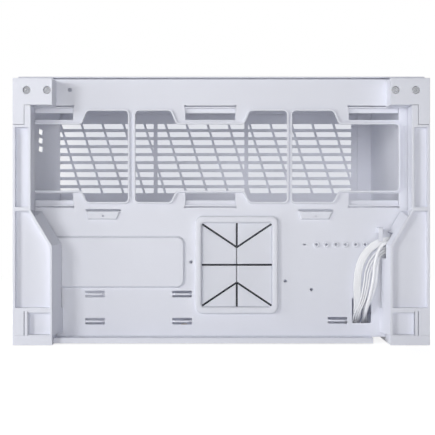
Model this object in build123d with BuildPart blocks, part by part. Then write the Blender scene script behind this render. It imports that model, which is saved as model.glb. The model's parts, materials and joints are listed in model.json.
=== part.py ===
from build123d import *
import os
from math import acos, atan2, degrees, hypot, tan

os.makedirs("parts", exist_ok=True)

# Overall size of the case, in millimetres
case_length = 440.0
case_height = 287.4
case_width = 215.0
sheet = 1.0
tray_recess = 26.0

# Pillars, corner blocks and feet at the two ends
pillar_wide = 41.6
pillar_narrow = 18.9
knee_low = 105.4
knee_high = 143.3
pillar_wall = 2.6
panel_depth = 6.0
panel_skin = 2.2
rib_thick = 4.2
socket_top = 36.4
socket_depth = 5.5
skirt = 7.0
rim_room = 4.0
block_height = 28.2
leg_width = 12.0
leg_height = 20.7
top_drop = 4.9
seam = 0.4
rail_height = 11.0
pad_drop = 0.8
pad_thick = 2.0

# Walls, roof and the frame of the far side
rear_inset = 12.0
front_inset = 26.5
roof_thick = 1.2
roof_gap = 1.4
panel_thick = 1.2
panel_gap = 0.5
frame_width = 20.0
frame_side = 18.0
bezel_thick = 3.0
bezel_depth = 8.0

# Openings of the tray
open_drop = 36.9
open_low = 152.1
tab_drop = 14.6
tab_rise = 12.3
tab_slope = 6.2
corner_r = 4.0
rim_width = 2.0
rim_height = 2.4
strap_long = 54.0
strap_short = 45.0
strap_high = 15.4
strap_gap = 1.2
lip_thick = 1.6
lip_return = 6.6
lip_depth = 4.0

# Slit grommet
grommet_x = 16.8
grommet_z = 84.1
grommet_wide = 89.4
grommet_tall = 105.8
ring_width = 6.8
ring_height = 4.2
flap_thick = 1.6
flap_gap = 0.4
slit = 1.9
fine_slit = 0.8
fork = 19.0

# Slots of the vent panel
vent_pitch = 10.3
vent_slot = 6.4
vent_column = 27.0
vent_web = 3.0
vent_rows = 9
vent_low = 168.7
vent_lean = 3.1
bar_width = 5.0

# Leads, sockets and buttons
flat_wide = 8.4
flat_thick = 2.2
inner_wide = 5.4
inner_thick = 2.0
round_d = 3.8
thin_d = 1.8
button_d = 11.0
reset_d = 5.0
button_travel = 1.2
button_play = 0.3

# Main board and fan fixings
board_pitch_x = 154.94
board_pitch_y = 157.48
standoff_high = 6.5
standoff_d = 6.0
standoff_bore = 2.9
fan_pitch = 105.0
fan_hole = 4.4

end_x = case_length / 2
near_y = -case_width / 2
far_y = case_width / 2
tray_y = near_y + tray_recess
tray_back = tray_y + sheet
wall_top = case_height - roof_thick
tray_top = wall_top - roof_gap
block_top = case_height - top_drop
block_bottom = block_top - block_height
leg_bottom = block_bottom - leg_height
pillar_top = block_bottom - seam
rear_x = -end_x + rear_inset
front_x = end_x - front_inset
frame_out = far_y - panel_thick - panel_gap
frame_in = frame_out - sheet
floor_top = rail_height + sheet
open_top = case_height - open_drop
tab_high = open_top - tab_drop
tab_low = open_low + tab_rise

inwards = (0, 1, 0)
outwards = (0, -1, 0)


def face_plane(y):
    """Upright plane across the case, drawn as seen from the cable side."""
    return Plane(origin=(0, y, 0), x_dir=(1, 0, 0), z_dir=(0, -1, 0))


def end_plane(x):
    """Upright plane along the case's width, with its normal towards the front."""
    return Plane(origin=(x, 0, 0), x_dir=(0, 1, 0), z_dir=(1, 0, 0))


def level_plane(z):
    """Level plane at a height."""
    return Plane.XY.offset(z)


def block(x0, x1, y0, y1, z0, z1, mode=Mode.ADD):
    """Box between two corners."""
    with Locations(((x0 + x1) / 2, (y0 + y1) / 2, (z0 + z1) / 2)):
        Box(abs(x1 - x0), abs(y1 - y0), abs(z1 - z0), mode=mode)


def rod_y(x, z, y0, y1, radius, mode=Mode.ADD):
    """Round bar along the case's width."""
    with Locations((x, (y0 + y1) / 2, z)):
        Cylinder(radius, abs(y1 - y0), rotation=(90, 0, 0), mode=mode)


def rod_x(y, z, x0, x1, radius, mode=Mode.ADD):
    """Round bar along the case's length."""
    with Locations(((x0 + x1) / 2, y, z)):
        Cylinder(radius, abs(x1 - x0), rotation=(0, 90, 0), mode=mode)


def frame_of(points):
    """Closed face of straight edges in the sketch that is open."""
    Polygon(*points, align=None)


# Tray: one pressed sheet between the two chambers
left_end = -end_x + 16.0
right_end = end_x - 28.2
left_d = -145.0
left_bar = -100.9
mid_start = -92.9
mid_d_left = -55.0
mid_d_right = 31.0
mid_stop = 71.1
right_bar = 76.5
right_d = 121.0

left_opening = [
    (left_end, tab_high),
    (left_d - tab_slope, tab_high),
    (left_d, open_top),
    (left_bar, open_top),
    (left_bar, open_low),
    (left_d, open_low),
    (left_d - tab_slope, tab_low),
    (left_end, tab_low),
]
mid_opening = [
    (mid_start, open_top),
    (mid_d_left, open_top),
    (mid_d_left + tab_slope, tab_high),
    (mid_d_right - tab_slope, tab_high),
    (mid_d_right, open_top),
    (mid_stop, open_top),
    (mid_stop, open_low),
    (mid_d_right, open_low),
    (mid_d_right - tab_slope, tab_low),
    (mid_d_left + tab_slope, tab_low),
    (mid_d_left, open_low),
    (mid_start, open_low),
]
right_opening = [
    (right_bar, open_top),
    (right_d, open_top),
    (right_d + tab_slope, tab_high),
    (right_end, tab_high),
    (right_end, tab_low),
    (right_d + tab_slope, tab_low),
    (right_d, open_low),
    (right_bar, open_low),
]
openings = [left_opening, mid_opening, right_opening]

strap_spots = [(-end_x + 37.0, strap_short), (-11.9, strap_long), (end_x - 55.0, strap_long)]
strap_high_z = tab_high + 12.6
strap_low_z = tab_low - 10.6
hook_x = [-127.7, 102.1]
hook_z = 143.4
hook_wide = 38.0
hook_tall = 10.4
plateau_left = -end_x + 33.0
plateau_right = -39.3
plateau_low = 59.0
plateau_high = 115.2
plateau_rise = 3.0
bridge_spots = [(-136.6, 52.4), (-42.5, 52.4), (-136.6, 23.0), (-42.5, 23.0), (125.8, 23.9)]
bridge_long = 21.0
bridge_tall = 7.0
bridge_band = 1.9
bridge_rise = 2.0
hole_x = end_x - 68.3
hole_z = 34.6
hole_wide = 20.6
hole_tall = 27.0
boss_x = [102.9, 113.7, 123.9, 134.2, 145.2, 155.4]
boss_z = 106.0
boss_d = 6.2
boss_hole = 2.6
boss_rise = 1.6
small_holes = [(-32.8, 87.1), (69.4, 66.5), (97.6, 57.3)]
small_hole_d = 3.2
rail_hole = (-163.7, case_height - 14.2)
rail_hole_d = 4.6
screw_x = [14.8, 36.3]
screw_z = case_height - 17.6
screw_shank = 3.0
screw_head = 7.6
rivet_z = [60.0, 125.0, case_height - 67.4]
rivet_d = 3.2
rivet_head = 6.0
rivet_inset = 6.5
apron_z = 6.2
apron_reach = 17.5
apron_low = 1.5
apron_left = -end_x + pillar_wide + 0.5
apron_right = end_x - pillar_wide - 16.8
neck_wide = grommet_wide - ring_width
neck_tall = grommet_tall - ring_width
rivet_rear = -end_x + rivet_inset
rivet_front = end_x - bezel_depth - 3.5


def strap_lip(x, long, edge, into):
    """Turned lip of a strap slot: a strip behind the slot's outer edge, and its return along the sheet."""
    near = edge + into * strap_gap
    back = tray_y + lip_depth
    block(x - long / 2, x + long / 2, tray_y, back, near, near + into * lip_thick)
    block(x - long / 2, x + long / 2, back - sheet, back, near, near + into * lip_return)


def bridge(x, z):
    """Lanced tie bridge: a band that rises out of the sheet between two slots."""
    half = bridge_long / 2
    ramp = bridge_rise + sheet
    with BuildSketch(level_plane(z - bridge_band / 2)) as band_side:
        frame_of([
            (x - half, tray_back),
            (x - half, tray_y),
            (x - half + ramp, tray_y - bridge_rise),
            (x + half - ramp, tray_y - bridge_rise),
            (x + half, tray_y),
            (x + half, tray_back),
            (x + half - ramp, tray_back - bridge_rise),
            (x - half + ramp, tray_back - bridge_rise),
        ])
    extrude(band_side.sketch, amount=bridge_band, dir=(0, 0, 1))


def hook_outline(x, inset):
    """Trapezoid of a hook pocket."""
    half = hook_wide / 2 - inset
    top = hook_z - 0.8 - inset
    low = hook_z - hook_tall + inset
    return [(x - half, top), (x + half, top), (x + half - 4.5, low), (x - half + 2.5, low)]


with BuildPart() as tray_panel:
    with BuildSketch(face_plane(tray_y)):
        with Locations((0, (rail_height + tray_top) / 2)):
            Rectangle(case_length - 4.0, tray_top - rail_height)
        with Locations((0, (apron_z + rail_height) / 2)):
            Rectangle(case_length - 2 * pillar_wide - 1.0, rail_height - apron_z)
    extrude(amount=-sheet)
    for outline in openings:
        with BuildSketch(face_plane(tray_y)) as rim:
            frame_of(outline)
            fillet(rim.vertices(), corner_r)
            offset(amount=rim_width, kind=Kind.ARC)
        extrude(amount=rim_height)
    for outline in openings:
        with BuildSketch(face_plane(tray_y - rim_height)) as cut:
            frame_of(outline)
            fillet(cut.vertices(), corner_r)
        extrude(amount=-(rim_height + sheet), mode=Mode.SUBTRACT)
    with BuildSketch(face_plane(tray_y)):
        for x, long in strap_spots:
            with Locations((x, strap_high_z), (x, strap_low_z)):
                Rectangle(long, strap_high)
            relief = (strap_high - strap_gap) / 2
            for z in (strap_high_z + relief, strap_low_z - relief):
                with Locations((x - long / 2, z), (x + long / 2, z)):
                    Rectangle(2.2, 2.4)
        with Locations(*bridge_spots):
            Rectangle(bridge_long, bridge_tall)
        with Locations((hole_x, hole_z)):
            RectangleRounded(hole_wide, hole_tall, 1.5)
        with Locations(*small_holes):
            Circle(small_hole_d / 2)
        with Locations(rail_hole):
            Circle(rail_hole_d / 2)
        with Locations((grommet_x, grommet_z)):
            RectangleRounded(neck_wide, neck_tall, 5.0)
        with Locations((end_x - pillar_narrow - 2.6, (tab_high + tab_low) / 2)):
            Rectangle(1.2, tab_high - tab_low - 4.0)
        with Locations(*[(s * (end_x - d), screw_z) for s in (-1, 1) for d in screw_x]):
            Circle(screw_shank / 2)
        with Locations(*[(x, z) for x in (rivet_rear, rivet_front) for z in rivet_z]):
            Circle(rivet_d / 2)
        with Locations(*[(x, hook_z) for x in hook_x]):
            Rectangle(hook_wide, 1.6)
        with Locations((boss_x[0] - 13.0, boss_z)):
            Rectangle(3.4, 1.2)
    extrude(amount=-sheet, mode=Mode.SUBTRACT)
    for x, long in strap_spots:
        strap_lip(x, long, strap_high_z + strap_high / 2, -1)
        strap_lip(x, long, strap_low_z - strap_high / 2, 1)
    for spot in bridge_spots:
        bridge(*spot)
    with BuildSketch(face_plane(tray_y)):
        with Locations(((plateau_left + plateau_right) / 2, (plateau_low + plateau_high) / 2)):
            RectangleRounded(plateau_right - plateau_left, plateau_high - plateau_low, 8.6)
    extrude(amount=plateau_rise, taper=35)
    with BuildSketch(face_plane(tray_back)):
        with Locations(((plateau_left + plateau_right) / 2, (plateau_low + plateau_high) / 2)):
            RectangleRounded(plateau_right - plateau_left - 1.0, plateau_high - plateau_low - 1.0, 8.1)
    extrude(amount=plateau_rise, taper=35, mode=Mode.SUBTRACT)
    for x in hook_x:
        with BuildSketch(face_plane(tray_y)):
            frame_of(hook_outline(x, 0.0))
        extrude(amount=2.4, taper=25)
        with BuildSketch(face_plane(tray_back)):
            frame_of(hook_outline(x, 0.8))
        extrude(amount=2.4, taper=25, mode=Mode.SUBTRACT)
        rod_y(x, hook_z - hook_tall * 0.62, tray_y - 4.0, tray_y, 1.0, mode=Mode.SUBTRACT)
    for x in boss_x:
        rod_y(x, boss_z, tray_y - boss_rise, tray_y, boss_d / 2)
        rod_y(x, boss_z, tray_y - boss_rise, tray_back, boss_hole / 2, mode=Mode.SUBTRACT)
    block(apron_left, apron_right, tray_y - apron_reach, tray_back, apron_z, apron_z + sheet)
    block(apron_left, apron_right, tray_y - apron_reach, tray_y - apron_reach + sheet,
          apron_low, apron_z + sheet)
tray_panel.part.label = "tray_panel"
export_step(tray_panel.part, "parts/tray_panel.step")

# Rear wall: a pan that opens outwards, with the board's aperture and three vent slots
aperture_long = 158.75
aperture_high = 44.45
board_y = 10.0
aperture_z = floor_top + 4.5 + aperture_high / 2
rear_slot_y = -21.0
rear_slot_z = [case_height - 54.4 - 9.8 * i for i in range(3)]

with BuildPart() as rear_wall:
    block(-end_x + 0.5, rear_x + sheet, tray_back, frame_out, rail_height, wall_top)
    block(-end_x - 1.0, rear_x, tray_back + sheet, frame_in, floor_top, wall_top - sheet, mode=Mode.SUBTRACT)
    with BuildSketch(end_plane(rear_x)):
        with Locations((board_y, aperture_z)):
            Rectangle(aperture_long, aperture_high)
        for z in rear_slot_z:
            with Locations((rear_slot_y, z)):
                frame_of([(-13.0, -3.0), (9.0, -3.0), (13.0, 3.0), (-9.0, 3.0)])
    extrude(amount=sheet, mode=Mode.SUBTRACT)
    for z in rivet_z:
        rod_y(rivet_rear, z, tray_back, tray_back + sheet, rivet_d / 2, mode=Mode.SUBTRACT)
rear_wall.part.label = "rear_wall"
export_step(rear_wall.part, "parts/rear_wall.step")

# Front wall: a pan that opens outwards, with a fan grille and the fan's four holes
fan_y = 22.0
fan_z = 95.0
grille_rows = 10
grille_columns = 4

with BuildPart() as front_wall:
    block(front_x - sheet, end_x - bezel_depth, tray_back, frame_out, rail_height, wall_top)
    block(front_x, end_x, tray_back + sheet, frame_in, floor_top, wall_top - sheet, mode=Mode.SUBTRACT)
    with BuildSketch(end_plane(front_x - sheet)):
        with Locations((fan_y, fan_z)):
            with GridLocations(25.5, vent_pitch, grille_columns, grille_rows):
                Rectangle(21.5, vent_slot)
            with GridLocations(fan_pitch, fan_pitch, 2, 2):
                Circle(fan_hole / 2)
    extrude(amount=sheet, mode=Mode.SUBTRACT)
    for z in rivet_z:
        rod_y(rivet_front, z, tray_back, tray_back + sheet, rivet_d / 2, mode=Mode.SUBTRACT)
    rod_y(end_x - screw_x[0], screw_z, tray_back, tray_back + sheet, screw_shank / 2, mode=Mode.SUBTRACT)
    block(front_x - sheet - frame_side, front_x - sheet, frame_in, frame_out,
          floor_top + frame_width, wall_top - frame_width)
front_wall.part.label = "front_wall"
export_step(front_wall.part, "parts/front_wall.step")

# Front bezel: a shallow moulded cover with the same slots as the side panel
with BuildPart() as front_bezel:
    block(end_x - bezel_depth, end_x, tray_back, frame_out, rail_height, wall_top)
    block(end_x - bezel_depth, end_x - bezel_thick, tray_back + 2.2, frame_out - 2.2,
          rail_height + 2.2, wall_top - 2.2, mode=Mode.SUBTRACT)
    with BuildSketch(end_plane(end_x - bezel_thick)):
        with Locations((fan_y - 9.0, (rail_height + wall_top) / 2)):
            with GridLocations(vent_column, vent_pitch, 5, 18):
                Rectangle(vent_column - vent_web, vent_slot)
    extrude(amount=bezel_thick, mode=Mode.SUBTRACT)
    fillet(front_bezel.edges().group_by(Axis.X)[-1].filter_by(Axis.Z).sort_by(Axis.Y)[-1], 2.0)
front_bezel.part.label = "front_bezel"
export_step(front_bezel.part, "parts/front_bezel.step")

# Floor and roof with the flanges that carry the side panel's sockets
stud_x = [-end_x + 70.0, end_x - 70.0]
stud_z = [floor_top + frame_width / 2, wall_top - frame_width / 2]
stud_d = 4.0
ball_d = 6.0
clip_bore = 6.8
clip_d = 11.0
clip_long = 9.0

with BuildPart() as floor_panel:
    block(rear_x + sheet, front_x - sheet, tray_back, frame_out, rail_height, floor_top)
    block(rear_x + sheet, front_x - sheet, frame_in, frame_out, floor_top, floor_top + frame_width)
    for x in stud_x:
        rod_y(x, stud_z[0], frame_in, frame_out, clip_bore / 2, mode=Mode.SUBTRACT)
floor_panel.part.label = "floor_panel"
export_step(floor_panel.part, "parts/floor_panel.step")

with BuildPart() as roof_panel:
    block(-end_x + 0.5, end_x - 0.5, tray_y - 2.0, frame_out, wall_top, case_height)
    block(rear_x + sheet, front_x - sheet, frame_in, frame_out, wall_top - frame_width, wall_top)
    for x in stud_x:
        rod_y(x, stud_z[1], frame_in, frame_out, clip_bore / 2, mode=Mode.SUBTRACT)
roof_panel.part.label = "roof_panel"
export_step(roof_panel.part, "parts/roof_panel.step")

with BuildPart() as stud_clips:
    for x in stud_x:
        for z in stud_z:
            rod_y(x, z, frame_in - clip_long, frame_in, clip_d / 2)
            rod_y(x, z, frame_in - clip_long, frame_in, clip_bore / 2, mode=Mode.SUBTRACT)
stud_clips.part.label = "stud_clips"
export_step(stud_clips.part, "parts/stud_clips.step")

# Side panel of the far side, with slots in slanting columns and two plain bars
vent_left = -end_x + 12.0
vent_right = end_x - 53.0
vent_bars = [-84.5, 32.2]

with BuildPart() as vent_panel:
    block(-end_x + 2.0, end_x - 2.0, far_y - panel_thick, far_y, floor_top + 0.5, case_height - 2.0)
    with BuildSketch(face_plane(far_y)) as slots:
        for row in range(vent_rows):
            z = vent_low + row * vent_pitch
            shift = -row * vent_lean
            lean = vent_lean * vent_slot / vent_pitch / 2
            half = (vent_column - vent_web) / 2
            for column in range(int(case_length / vent_column) + 2):
                x = vent_left + shift + (column + 0.5) * vent_column
                with Locations((x, z)):
                    frame_of([
                        (-half + lean, -vent_slot / 2),
                        (half + lean, -vent_slot / 2),
                        (half - lean, vent_slot / 2),
                        (-half - lean, vent_slot / 2),
                    ])
        with Locations(((vent_left + vent_right) / 2, vent_low + vent_rows * vent_pitch / 2)):
            Rectangle(vent_right - vent_left, 2 * vent_rows * vent_pitch, mode=Mode.INTERSECT)
        with Locations(*[(x, vent_low) for x in vent_bars]):
            Rectangle(bar_width, 4 * vent_rows * vent_pitch, mode=Mode.SUBTRACT)
    extrude(amount=panel_thick, mode=Mode.SUBTRACT)
vent_panel.part.label = "vent_panel"
export_step(vent_panel.part, "parts/vent_panel.step")

with BuildPart() as vent_studs:
    for x in stud_x:
        for z in stud_z:
            rod_y(x, z, far_y - panel_thick - 5.0, far_y - panel_thick, stud_d / 2)
            with Locations(Plane(origin=(x, far_y - panel_thick - 5.0, z), z_dir=outwards)):
                Cone(stud_d / 2, ball_d / 2, 1.5, align=(Align.CENTER, Align.CENTER, Align.MIN))
            with Locations(Plane(origin=(x, far_y - panel_thick - 6.5, z), z_dir=outwards)):
                Cone(ball_d / 2, stud_d / 2, 2.5, align=(Align.CENTER, Align.CENTER, Align.MIN))
vent_studs.part.label = "vent_studs"
export_step(vent_studs.part, "parts/vent_studs.step")

# Pillars: hollow mouldings with sunk panels, ribs and a square socket at the foot
pillar_points = [
    (0.0, rail_height),
    (pillar_wide, rail_height),
    (pillar_wide, knee_low),
    (pillar_narrow, knee_high),
    (pillar_narrow, pillar_top),
    (leg_width + seam, pillar_top),
    (leg_width + seam, leg_bottom - seam),
    (0.0, leg_bottom - seam),
]
rib_z = (knee_high + 1.1, socket_top + 1.6)

# Skirt: the pillar's inner side leans out towards the tray, along its foot and its slope
slope_run = pillar_wide - pillar_narrow
slope_rise = knee_high - knee_low
slope_long = hypot(slope_run, slope_rise)
skirt_knee = knee_low + skirt * (slope_long - slope_rise) / slope_run
skirt_top = pillar_narrow + skirt * slope_long / slope_rise
skirt_back = 20.0
skirt_points = [
    (pillar_wide + skirt, rail_height - 2 * skirt),
    (pillar_wide + skirt, skirt_knee),
    (skirt_top, knee_high),
    (skirt_top - skirt_back, knee_high),
    (pillar_wide + skirt - skirt_back, knee_low),
    (pillar_wide + skirt - skirt_back, rail_height - 2 * skirt),
]


def at_end(side, points):
    """Points given from the outer end inwards, placed at one end of the case."""
    return [(side * (end_x - d), z) for d, z in points]


def band(low, high):
    """Keeps what lies between two heights in the sketch that is open."""
    with Locations((0, (low + high) / 2)):
        Rectangle(2 * case_length, high - low, mode=Mode.INTERSECT)


def pillar_body(side):
    """Pillar moulding of one end."""
    outline = at_end(side, pillar_points)
    with BuildSketch(face_plane(near_y)) as whole:
        frame_of(outline)
    extrude(whole.sketch, amount=tray_recess, dir=inwards)
    with BuildSketch(face_plane(tray_y)) as flare:
        frame_of(at_end(side, skirt_points)[::-side])
    extrude(flare.sketch, amount=tray_recess - 0.5, dir=outwards, taper=degrees(atan2(skirt, tray_recess)))
    block(side * (end_x - pillar_wide + skirt_back), side * (end_x - pillar_wide - skirt - 1.0),
          near_y, tray_y, rail_height - 3 * skirt, rail_height, mode=Mode.SUBTRACT)
    hollows = [(rib_z[1] + rib_thick / 2 - 1.0, pillar_top, tray_recess - panel_depth - panel_skin),
               (rail_height, rib_z[1] - rib_thick / 2, tray_recess - socket_depth - panel_skin)]
    for low, high, deep in hollows:
        with BuildSketch(face_plane(tray_y)) as hollow:
            frame_of(outline)
            offset(amount=-pillar_wall, kind=Kind.INTERSECTION)
            band(low, high)
        extrude(hollow.sketch, amount=deep, dir=outwards, mode=Mode.SUBTRACT)
    bands = [(rib_z[0] + rib_thick / 2, leg_bottom - seam - pillar_wall),
             (rib_z[1] + rib_thick / 2, rib_z[0] - rib_thick / 2)]
    for low, high in bands:
        with BuildSketch(face_plane(near_y)) as sunk:
            frame_of(outline)
            offset(amount=-pillar_wall, kind=Kind.INTERSECTION)
            band(low, high)
        extrude(sunk.sketch, amount=panel_depth, dir=inwards, mode=Mode.SUBTRACT)
    block(side * (end_x - 16.8), side * (end_x - 39.2), near_y, near_y + socket_depth,
          rail_height + 0.8, socket_top - 1.4, mode=Mode.SUBTRACT)
    for d in (11.8, 15.8):
        block(side * (end_x - d), side * (end_x - d - 0.8), near_y, near_y + 3.0,
              rail_height, socket_top, mode=Mode.SUBTRACT)
    inner = leg_width + seam - 0.5
    block(side * (end_x - inner), side * (end_x - pillar_wide - skirt - 1.0), tray_y - rim_room, tray_y,
          rib_z[1], pillar_top + 1.0, mode=Mode.SUBTRACT)


with BuildPart() as rear_pillar:
    pillar_body(-1)
rear_pillar.part.label = "rear_pillar"
export_step(rear_pillar.part, "parts/rear_pillar.step")

# Sockets and buttons stand in a row on the front pillar's outer side
socket_y = tray_y - 9.6
board_x = end_x - 15.0
board_thick = 1.6
audio_z = 60.0
socket_z = [76.0, 95.0]
reset_z = 110.5
power_z = 123.0
usb_wide = 6.4
usb_tall = 14.0
outlet_low = 91.5
outlet_high = 119.0
outlet_deep = 15.0
wall_in = end_x - pillar_wall - 1.0
wall_out = end_x + 1.0

with BuildPart() as front_pillar:
    pillar_body(1)
    block(end_x - pillar_wide - skirt - 1.0, board_x - 6.0, tray_y - outlet_deep, tray_y,
          outlet_low, outlet_high, mode=Mode.SUBTRACT)
    for z in socket_z:
        block(wall_in, wall_out, socket_y - usb_wide / 2 - 0.2, socket_y + usb_wide / 2 + 0.2,
              z - usb_tall / 2 - 0.2, z + usb_tall / 2 + 0.2, mode=Mode.SUBTRACT)
    rod_x(socket_y, audio_z, wall_in, wall_out, 3.4, mode=Mode.SUBTRACT)
    rod_x(socket_y, power_z, wall_in, wall_out, button_d / 2 + button_play, mode=Mode.SUBTRACT)
    rod_x(socket_y, reset_z, wall_in, wall_out, reset_d / 2 + button_play, mode=Mode.SUBTRACT)
front_pillar.part.label = "front_pillar"
export_step(front_pillar.part, "parts/front_pillar.step")

with BuildPart() as socket_board:
    block(board_x - board_thick, board_x, near_y + panel_depth + panel_skin, tray_y - 4.0,
          audio_z - 9.0, power_z + 10.0)
socket_board.part.label = "socket_board"
export_step(socket_board.part, "parts/socket_board.step")

with BuildPart() as data_sockets:
    for z in socket_z:
        block(board_x, end_x - 0.6, socket_y - usb_wide / 2, socket_y + usb_wide / 2,
              z - usb_tall / 2, z + usb_tall / 2)
        block(board_x + 2.0, end_x, socket_y - usb_wide / 2 + 0.5, socket_y + usb_wide / 2 - 0.5,
              z - usb_tall / 2 + 0.5, z + usb_tall / 2 - 0.5, mode=Mode.SUBTRACT)
        block(board_x + 1.0, end_x - 2.0, socket_y - 0.2, socket_y + 1.6,
              z - usb_tall / 2 + 1.2, z + usb_tall / 2 - 1.2)
data_sockets.part.label = "data_sockets"
export_step(data_sockets.part, "parts/data_sockets.step")

with BuildPart() as audio_socket:
    block(board_x, end_x - pillar_wall - 0.4, socket_y - 3.6, socket_y + 3.6, audio_z - 3.6, audio_z + 3.6)
    rod_x(socket_y, audio_z, end_x - pillar_wall - 0.4, end_x - 0.4, 3.1)
    rod_x(socket_y, audio_z, board_x + 1.5, end_x, 1.8, mode=Mode.SUBTRACT)
audio_socket.part.label = "audio_socket"
export_step(audio_socket.part, "parts/audio_socket.step")

switch_tip = board_x + 5.0
button_foot = switch_tip + button_travel + 0.3

with BuildPart() as switches:
    for z in (power_z, reset_z):
        block(board_x, board_x + 3.6, socket_y - 3.0, socket_y + 3.0, z - 3.0, z + 3.0)
        rod_x(socket_y, z, board_x + 3.6, switch_tip, 1.6)
switches.part.label = "switches"
export_step(switches.part, "parts/switches.step")


def button_body(z, diameter):
    """Button cap with a collar that stops it behind the pillar's wall."""
    rod_x(socket_y, z, button_foot, end_x - 0.3, diameter / 2)
    rod_x(socket_y, z, end_x - pillar_wall - 1.6, end_x - pillar_wall - 0.3, diameter / 2 + 0.9)


with BuildPart() as power_button:
    button_body(power_z, button_d)
    chamfer(power_button.faces().sort_by(Axis.X)[-1].edges(), 0.6)
power_button.part.label = "power_button"
export_step(power_button.part, "parts/power_button.step")

with BuildPart() as reset_button:
    button_body(reset_z, reset_d)
    chamfer(reset_button.faces().sort_by(Axis.X)[-1].edges(), 0.4)
reset_button.part.label = "reset_button"
export_step(reset_button.part, "parts/reset_button.step")

# Corner blocks with their screws
block_points = [
    (0.0, leg_bottom),
    (leg_width, leg_bottom),
    (leg_width, block_bottom),
    (pillar_wide, block_bottom),
    (pillar_wide, block_top),
    (0.0, block_top),
]
block_skin = 3.0
sink_depth = 3.0
head_sink = 1.2


def corner_body(side):
    """Corner block: a hollow moulding with a boss for each screw."""
    outline = at_end(side, block_points)
    with BuildSketch(face_plane(near_y)) as whole:
        frame_of(outline)
    extrude(whole.sketch, amount=tray_recess, dir=inwards)
    with BuildSketch(face_plane(tray_y)) as hollow:
        frame_of(outline)
        offset(amount=-pillar_wall, kind=Kind.INTERSECTION)
    extrude(hollow.sketch, amount=tray_recess - block_skin - sink_depth, dir=outwards, mode=Mode.SUBTRACT)
    for d in screw_x:
        x = side * (end_x - d)
        rod_y(x, screw_z, near_y + 1.0, tray_y, screw_head / 2 + 1.0)
        rod_y(x, screw_z, near_y - 1.0, near_y + sink_depth, screw_head / 2 + 0.3, mode=Mode.SUBTRACT)
        rod_y(x, screw_z, near_y, tray_y, screw_shank / 2, mode=Mode.SUBTRACT)


def corner_screws(side):
    """Two pan-head screws of one corner block, each with a drive recess."""
    for d in screw_x:
        x = side * (end_x - d)
        rod_y(x, screw_z, near_y + head_sink, near_y + sink_depth, screw_head / 2)
        rod_y(x, screw_z, near_y + sink_depth, tray_back + 4.0, screw_shank / 2)
        with BuildSketch(face_plane(near_y + head_sink)) as drive:
            with Locations((x, screw_z)):
                RegularPolygon(1.7, 6)
        extrude(drive.sketch, amount=1.2, dir=inwards, mode=Mode.SUBTRACT)


with BuildPart() as rear_corner:
    corner_body(-1)
rear_corner.part.label = "rear_corner"
export_step(rear_corner.part, "parts/rear_corner.step")

with BuildPart() as front_corner:
    corner_body(1)
front_corner.part.label = "front_corner"
export_step(front_corner.part, "parts/front_corner.step")

with BuildPart() as rear_screws:
    corner_screws(-1)
rear_screws.part.label = "rear_screws"
export_step(rear_screws.part, "parts/rear_screws.step")

with BuildPart() as front_screws:
    corner_screws(1)
front_screws.part.label = "front_screws"
export_step(front_screws.part, "parts/front_screws.step")

with BuildPart() as tray_rivets:
    for x in (rivet_rear, rivet_front):
        for z in rivet_z:
            rod_y(x, z, tray_y - 1.0, tray_y, rivet_head / 2)
            rod_y(x, z, tray_y, tray_back + sheet + 0.8, rivet_d / 2)
tray_rivets.part.label = "tray_rivets"
export_step(tray_rivets.part, "parts/tray_rivets.step")

# Foot rails with rubber pads let into them
pad_wide = 14.0
pad_long = 30.0
pad_y = case_width / 2 - 26.0
pad_x = end_x - pillar_wide / 2


def rail_body(side):
    """Foot rail along the case's width."""
    block(side * (end_x - pillar_wide), side * end_x, near_y, far_y, pad_drop, rail_height)
    for y in (-pad_y, pad_y):
        block(side * pad_x - pad_wide / 2, side * pad_x + pad_wide / 2,
              y - pad_long / 2, y + pad_long / 2, pad_drop, pad_thick, mode=Mode.SUBTRACT)


with BuildPart() as rear_rail:
    rail_body(-1)
rear_rail.part.label = "rear_rail"
export_step(rear_rail.part, "parts/rear_rail.step")

with BuildPart() as front_rail:
    rail_body(1)
front_rail.part.label = "front_rail"
export_step(front_rail.part, "parts/front_rail.step")

with BuildPart() as foot_pads:
    for side in (-1, 1):
        for y in (-pad_y, pad_y):
            block(side * pad_x - pad_wide / 2, side * pad_x + pad_wide / 2,
                  y - pad_long / 2, y + pad_long / 2, 0.0, pad_thick)
foot_pads.part.label = "foot_pads"
export_step(foot_pads.part, "parts/foot_pads.step")

# Standoffs that carry the main board
standoff_x = rear_x + sheet + 11.4 + board_pitch_x / 2

with BuildPart() as standoffs:
    with BuildSketch(level_plane(floor_top)):
        with Locations((standoff_x, board_y)):
            with GridLocations(board_pitch_x, board_pitch_y, 2, 2):
                RegularPolygon(standoff_d / 2 + 0.4, 6)
    extrude(amount=standoff_high)
    with BuildSketch(level_plane(floor_top + 1.0)):
        with Locations((standoff_x, board_y)):
            with GridLocations(board_pitch_x, board_pitch_y, 2, 2):
                Circle(standoff_bore / 2)
    extrude(amount=standoff_high, mode=Mode.SUBTRACT)
standoffs.part.label = "standoffs"
export_step(standoffs.part, "parts/standoffs.step")

# Grommet: a rubber ring that grips the tray's edge, and eight leaves inside it
ring_inner_wide = grommet_wide - 2 * ring_width + 0.4
ring_inner_tall = grommet_tall - 2 * ring_width - 1.6
grip = 1.6

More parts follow.
